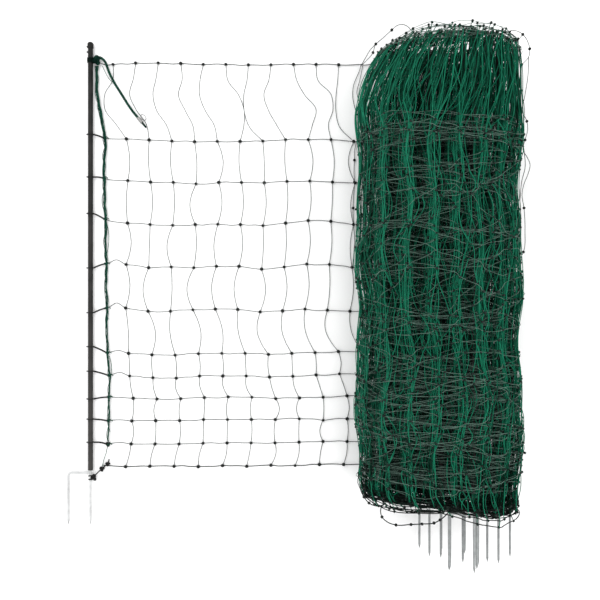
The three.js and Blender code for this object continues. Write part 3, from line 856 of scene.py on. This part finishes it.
def spiralPlaces(angles, start, turnsTried):
    inward = (angles - start) / (turnsTried * 2 * math.pi)
    left = roll["left"] + roll["skin"] + (roll["coreLeft"] - roll["left"]) * inward
    right = roll["right"] - roll["skin"] + (roll["coreRight"] - roll["right"]) * inward
    top = roll["high"] - roll["skin"] + (roll["coreHigh"] - roll["high"]) * inward
    bottom = roll["bottom"] + roll["coreLow"] * inward
    waist = roll["waist"] + (roll["coreWaist"] - roll["waist"]) * inward
    c, s = np.cos(angles), np.sin(angles)
    squareness = np.where(s > 0, *roll["squareness"])
    across = (left + right) / 2 + (right - left) / 2 * np.sign(c) * np.abs(c) ** (2 / squareness)
    up = np.where(s > 0, top - waist, waist - bottom) * np.sign(s) * np.abs(s) ** (2 / squareness)
    return np.stack([across, waist + up], axis=-1)


# Slow random wander along the net: a sum of a few waves, from the shortest to the longest
def wander(along, shortest, longest, waves=7):
    total = np.zeros_like(along)
    for _ in range(waves):
        length = math.exp(chance.uniform(math.log(shortest), math.log(longest)))
        total += np.sin(along / length * 2 * math.pi + chance.uniform(0, 6.283))
    return total / math.sqrt(waves / 2)


spiralAlong, spiralXz = spiral()
fineAlong = np.arange(0, roll["length"], 5.0)
drift = wander(fineAlong, 700, 3000)
lineUp, lineSlide = [], []
for base, spread in roll["lines"]:
    own = wander(fineAlong, 300, 2200)
    ripple = wander(fineAlong, 60, 170)
    lineUp.append(base + spread * (0.45 * drift + 0.6 * own) * 0.75 + 1.4 * ripple)
    lineSlide.append(7 * wander(fineAlong, 500, 2500) + 2 * ripple)
lineUp, lineSlide = np.array(lineUp), np.array(lineSlide)
lineSlide[topLine] -= 26


# Where a point lies in a band of nested uprights: the first value is 1 in its middle and -1 between
# two bands, and the second tells which side of the middle it is on
def bandAt(across, up):
    swing, wave = roll["bandSway"]
    ripple, rippleUp, rippleAcross = roll["bandRipple"]
    middle = (roll["bandStart"] + swing * np.sin(up / wave)
              + ripple * np.sin(up / rippleUp + across / rippleAcross))
    phase = (across - middle) / roll["bandWidth"] * 2 * math.pi
    return np.cos(phase), np.sin(phase)


def smooth(value, low, high):
    part = np.clip((value - low) / (high - low), 0, 1)
    return part * part * (3 - 2 * part)


# A place on the wound net: so far along it, so far up its height, and so far out of its turn
def onRoll(along, up, out=0.0):
    along = np.clip(along, 0, roll["length"])
    across = np.interp(along, spiralAlong, spiralXz[:, 0])
    high = np.interp(along, spiralAlong, spiralXz[:, 1])
    ahead = np.interp(np.minimum(along + 4, roll["length"]), spiralAlong, spiralXz[:, 0])
    aheadHigh = np.interp(np.minimum(along + 4, roll["length"]), spiralAlong, spiralXz[:, 1])
    outX, outZ = aheadHigh - high, across - ahead
    size = np.maximum(np.hypot(outX, outZ), 1e-6)
    topSide = np.clip((high - 150) / 90, 0, 1)
    pull = topSide * np.clip((960 - up) / 60, 0.25, 1) * roll["bandPull"]
    across = across - pull * roll["bandWidth"] / (2 * math.pi) * bandAt(across, up)[1]
    across = across + sum(swing * np.sin(up / upWave + across / acrossWave)
                          for swing, upWave, acrossWave in roll["sway"])
    x = across - outX / size * out
    z = high - outZ / size * out
    x = np.clip(x, roll["left"] + 2, roll["right"] - 2)
    lean = np.interp(up, *zip(*roll["lean"]))
    end = smooth(up, *roll["rimUp"])
    drop = roll["rimDropLeft"] * (1 - smooth(x, roll["left"], roll["left"] + 130))
    drop = drop + roll["rimDropRight"] * smooth(x, roll["right"] - 90, roll["right"])
    fall = roll["footDrop"] * smooth(x, *roll["footAcross"]) * (1 - smooth(up, *roll["footUp"]))
    inside = (roll["right"] - x) / (roll["right"] - roll["left"])
    return np.stack([x + lean * inside, up - end * drop - fall,
                     np.clip(z, 2.5, roll["high"] + 2)], axis=-1)


# Painted light and shade: bright on the outermost turns and in the bands, painted shade between the
# bands and on the inner turns
def toneWithPaintedShade(places, own, along):
    inward = np.clip(along / roll["length"], 0, 1)
    band = bandAt(places[..., 0], places[..., 1])[0] * np.clip((980 - places[..., 1]) / 80, 0.2, 1)
    # painted light in the bands, painted shade between them and on the inner turns, on top of each
    # strand's own tone
    base, bandPaintedLightAndShade, innerTurnPaintedShade = roll["tone"]
    return np.clip(own + bandPaintedLightAndShade * band + base - innerTurnPaintedShade * inward, *roll["toneLimits"])


def rollLines(rows):
    shapes = []
    for row in rows:
        along = np.arange(0, roll["length"], 14.5)
        up = np.interp(along, fineAlong, lineUp[row])
        slide = np.interp(along, fineAlong, lineSlide[row])
        path = onRoll(along + slide, up, 2.2 * wander(along, 80, 400) + 1.0)
        own = np.full(len(along), 0.1 if row == 0 else 0.62)
        thickness = roll["groundLineThickness"] if row == 0 else roll["lineThickness"]
        shapes.append(strands(path, thickness, 3, toneWithPaintedShade(path, own, along)[None]))
    return joined(shapes)


columns = np.arange(roll["pitch"] / 2, roll["length"] - 10, roll["pitch"])


def knotAlong(row):
    return columns + np.interp(columns, fineAlong, lineSlide[row])


def rollUprights(rows):
    shapes = []
    for row in rows:
        kind = "top" if row == topLine else ("tall" if row >= roll["tallFrom"] else "short")
        count, swing = roll["uprights"][kind]
        steps = np.linspace(0, 1, count)[None, :]
        low, high = knotAlong(row - 1)[:, None], knotAlong(row)[:, None]
        lowUp = np.interp(columns, fineAlong, lineUp[row - 1])[:, None]
        highUp = np.interp(columns, fineAlong, lineUp[row])[:, None]
        one = chance.normal(0, swing, (len(columns), 1)) * np.sin(math.pi * steps)
        two = chance.normal(0, swing * 0.4, (len(columns), 1)) * np.sin(2 * math.pi * steps)
        along = low + (high - low) * steps + one + two
        up = lowUp + (highUp - lowUp) * steps
        out = chance.normal(0, 3.0, (len(columns), 1)) * np.sin(math.pi * steps)
        path = onRoll(along, up, out)
        own = chance.normal(0.5, 0.25, (len(columns), 1))
        if row in roll["darkUprights"]:
            share, darkTone = roll["darkUprights"][row]
            own = np.where(chance.random((len(columns), 1)) < share, darkTone, own)
        shapes.append(strands(path, roll["uprightThickness"], 3, toneWithPaintedShade(path, own, along)))
    return joined(shapes)


# One knot of the rolled net, modelled once: a low, uneven bead
def smallKnot(size):
    bpy.ops.object.select_all(action="DESELECT")
    bpy.ops.mesh.primitive_ico_sphere_add(subdivisions=1, radius=size / 2)
    bead = bpy.context.object
    return shapeFrom(bead, np.array([v.co for v in bead.data.vertices]) * (1.15, 1.0, 0.9))


def rollKnots():
    bead = smallKnot(roll["knotSize"])
    shapes = []
    for row in range(len(roll["lines"])):
        up = np.interp(columns, fineAlong, lineUp[row])
        places = onRoll(knotAlong(row), up, chance.normal(0, 1.5, len(columns)))
        places[:, 2] = np.clip(places[:, 2], 4, roll["high"] + 1)
        sizes = chance.uniform(0.85, 1.15, len(places))
        turns = turnsFrom(chance.uniform(0, 3.14, len(places))) * sizes[:, None, None]
        shapes.append(copies(bead, places, turns))
    return joined(shapes)


addPiece("rolled_uprights_low", rollUprights(range(1, 6)), twineGreen, ["rolled_netting"])
addPiece("rolled_uprights_middle", rollUprights(range(6, 9)), twineGreen)
addPiece("rolled_uprights_high", rollUprights(range(9, 12)), twineGreen)
addPiece("rolled_ground_line", rollLines([0]), groundBlack)
addPiece("rolled_lines_low", rollLines(range(1, 6)), polywireGrey)
addPiece("rolled_lines_high", rollLines(range(6, 12)), polywireGrey)
addPiece("rolled_knots", rollKnots(), rolledKnotBlack)

# Loose edge: strands that stand off the roll, by their places in the view and their heights. Most of
# their ends lie on the roll, on another strand or on the panel's lines. The two that start below
# footFrom in the view are the ground line's, thicker and darker.
loose = {
    "thickness": 1.7,
    "footThickness": 2.6,
    "footFrom": 400,
    "knotSize": 7.4,
    "strands": [
        [(361.2, 65.6, 6), (366, 61, 60), (373, 52.6, 130), (376, 44, 180), (383, 38, 215),
         (391.8, 30, 240), (397, 25.6, 250), (402, 24.4, 254), (407, 26, 256), (411, 30, 258)],
        [(361.2, 65.6, 6), (366, 57, 70), (371, 49, 140), (375.8, 44, 180)],
        [(447, 28, 268), (459, 26, 264), (471, 26.5, 264), (479, 25, 262), (492, 28.4, 256),
         (505.4, 32, 240), (512, 30.6, 225), (518, 31.4, 205), (522.8, 34.4, 190), (527, 40, 175),
         (529.7, 48.8, 165), (528.6, 57, 150), (521.8, 64.7, 140)],
        [(505.4, 32, 240), (512, 34, 222), (518, 39, 205), (522.8, 34.4, 190)],
        [(528.6, 57, 150), (528, 75, 135), (525, 95, 130), (522.4, 112, 126), (526.9, 121.3, 124),
         (527.6, 130, 124), (525, 140, 124), (523, 150, 124), (527, 157, 120), (530, 164, 118),
         (528, 174, 120), (524, 184, 122), (522, 194, 124), (524, 208, 124), (525, 230, 124),
         (523.4, 252, 124), (519.6, 260, 124)],
        [(521.4, 66, 140), (521, 90.5, 134), (524, 105, 130), (524, 120, 126), (521.6, 134, 124),
         (524, 150, 122), (525, 168, 122), (522, 180, 124), (520, 200, 126)],
        [(361, 64.8, 4), (359, 72, 4), (356.9, 76.6, 5), (353.4, 86, 5), (352.7, 95.7, 5),
         (354.4, 106.4, 5), (358, 117, 5), (363.5, 128.8, 5), (365, 140.3, 4)],
        [(363, 64.8, 4), (359.4, 81.6, 5), (356.9, 91.5, 5), (359.4, 103, 5), (363, 115, 5),
         (366, 128, 5), (367, 140.3, 4)],
        [(357, 140.3, 4), (354.6, 150, 5), (354.4, 160, 5), (354, 170, 5), (354.4, 182, 5),
         (353.6, 196, 5), (353, 208, 5), (353.4, 224, 5), (354.4, 236, 5), (354, 250, 5),
         (352.6, 266.4, 4)],
        [(360, 484, 200), (361, 491, 212), (364, 497, 220), (369, 503, 226), (376, 506, 232),
         (384, 505, 238)],
        [(384, 503, 244), (381, 508, 240), (382, 517, 236), (388, 522.4, 236), (396, 525, 236),
         (411, 524.5, 236), (422, 524, 238), (434, 523, 242), (440, 520, 246), (447, 514, 252),
         (452, 507, 258)],
    ],
    "knots": [
        (391.8, 30, 240), (373, 52.6, 130), (375.8, 44, 180), (459, 26, 264), (471, 26.5, 264),
        (492, 28.4, 256), (505.4, 32, 240), (522.8, 34.4, 190), (529.7, 48.8, 165), (521.8, 64.7, 140),
        (518, 39, 205), (526.9, 121.3, 124), (525, 140, 124), (524, 208, 124), (523.4, 252, 124),
        (521, 90.5, 134), (354.4, 160, 5), (354.4, 182, 5), (353, 208, 5), (353.4, 224, 5),
        (382, 517, 236), (396, 525, 236), (411, 524.5, 236), (422, 524, 238), (434, 523, 242),
        (440, 520, 246), (364, 497, 220), (369, 503, 226),
    ],
}


def looseStrands():
    made = []
    for places in loose["strands"]:
        points = [seenAt(*place) for place in places]
        atFoot = places[0][1] > loose["footFrom"]
        thickness = loose["footThickness"] if atFoot else loose["thickness"]
        made.append(strands(smoothPath(points, 5), thickness, 6, 0.1 if atFoot else 0.5))
    return joined(made)


def looseKnots():
    bead = knotShape(loose["knotSize"])
    places = np.array([seenAt(*place) for place in loose["knots"]])
    return copies(bead, places, turnsFrom(chance.uniform(0, 3.14, len(places))))


addPiece("loose_strands", looseStrands(), panelGrey)
addPiece("loose_knots", looseKnots(), knotBlack)
print("net made")

# End post's cap, modelled: a turned plug with a rounded top and two small lips on its outer side
cap = {
    "radius": 8.3,
    "low": 1157.6,
    "high": 1169.9,
    "axis": 9.5,
    # its top: how far each step rises, in metres, and how much narrower it gets
    "steps": [(0.0022, 0.88), (0.0026, 0.62)],
    "bevel": 0.0016,
    "lips": (1161.5, 1147),
    "lipAcross": -5,
    "lipRadius": 0.0042,
    "lipReach": 3.4,
}


def bevelled(width, segments):
    modifier = bpy.context.object.modifiers.new("soft edge", "BEVEL")
    modifier.width = width
    modifier.segments = segments
    modifier.limit_method = "ANGLE"
    bpy.ops.object.modifier_apply(modifier="soft edge")


def postCap():
    bpy.ops.object.select_all(action="DESELECT")
    made = []
    low, high = toFrame((0, cap["low"], cap["axis"])), toFrame((0, cap["high"], cap["axis"]))
    bpy.ops.mesh.primitive_cylinder_add(
        vertices=32, radius=cap["radius"] / 1000, depth=high[1] - low[1],
        location=tuple((low + high) / 2), rotation=(-math.pi / 2, 0, 0))
    body = bpy.context.object
    bpy.ops.object.transform_apply(location=True, rotation=True, scale=True)
    bpy.ops.object.mode_set(mode="EDIT")
    bpy.ops.mesh.select_all(action="DESELECT")
    bpy.ops.object.mode_set(mode="OBJECT")
    for face in body.data.polygons:
        face.select = face.normal.y > 0.9
    bpy.ops.object.mode_set(mode="EDIT")
    for rise, narrower in cap["steps"]:
        bpy.ops.mesh.extrude_region_move(TRANSFORM_OT_translate={"value": (0, rise, 0)})
        bpy.ops.transform.resize(value=(narrower, 1, narrower))
    bpy.ops.object.mode_set(mode="OBJECT")
    bevelled(cap["bevel"], 3)
    made.append(body)
    for up in cap["lips"]:
        bpy.ops.object.select_all(action="DESELECT")
        place = toFrame((cap["lipAcross"], up, cap["axis"]))
        bpy.ops.mesh.primitive_torus_add(
            major_radius=cap["lipRadius"], minor_radius=cap["lipReach"] / 2000,
            major_segments=20, minor_segments=10,
            location=tuple(place), rotation=(math.pi / 2, 0, 0))
        bpy.ops.object.transform_apply(location=True, rotation=True, scale=True)
        made.append(bpy.context.object)
    bpy.ops.object.select_all(action="DESELECT")
    for piece in made:
        piece.select_set(True)
    bpy.context.view_layer.objects.active = body
    bpy.ops.object.join()
    bpy.ops.object.shade_smooth_by_angle(angle=math.radians(35))
    bpy.ops.object.origin_set(type="ORIGIN_CURSOR")
    body.name = "end_post_cap_turned"
    body.data.materials.append(postPlastic)
    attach(body, "root")
    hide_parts("end_post_cap")


postCap()
print("cap made")

# The frame's own pieces keep their shape and take their finish
finishes = {
    "_shaft": postPlastic, "_cap": postPlastic, "_foot": zincSteel, "end_post_foot": endSteel,
    "lead_stub": cordGreen, "lead_sleeve": stainlessSteel, "lead_eye": wireSteel,
}
for name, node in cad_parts.items():
    for part, material in finishes.items():
        if name.endswith(part) or name.startswith(part):
            node.data.materials.clear()
            node.data.materials.append(material)


# Stage: a plain floor and soft light. Each lamp has its place, in metres, and its power.
stage = {
    "floorSize": 14,
    "floorHigh": -0.0005,
    "floorTone": 0.96,
    "sky": 1.1,
    "lampSize": 2.2,
    "lamps": {"key": ((-1.2, 1.2, 2.8), 34), "fill": ((1.6, -0.6, 2.6), 26)},
}


def addStage():
    bpy.ops.object.select_all(action="DESELECT")
    bpy.ops.mesh.primitive_plane_add(size=stage["floorSize"], location=(0, 0, stage["floorHigh"]))
    floor = bpy.context.object
    floor.name = "floor"
    material, tree, shader = newMaterial("floor_white", 0.9)
    shader.inputs["Base Color"].default_value = (*[stage["floorTone"]] * 3, 1)
    floor.data.materials.append(material)
    world = bpy.data.worlds.new("studio")
    bpy.context.scene.world = world
    world.use_nodes = True
    world.node_tree.nodes["Background"].inputs["Color"].default_value = (1, 1, 1, 1)
    world.node_tree.nodes["Background"].inputs["Strength"].default_value = stage["sky"]
    for name, (place, power) in stage["lamps"].items():
        light = bpy.data.lights.new(name, "AREA")
        light.size = stage["lampSize"]
        light.energy = power
        lamp = bpy.data.objects.new(name, light)
        lamp.location = place
        lamp.rotation_euler = (-Vector(place)).to_track_quat("-Z", "Y").to_euler()
        bpy.context.scene.collection.objects.link(lamp)
    bpy.context.scene.view_settings.view_transform = "Standard"


addStage()
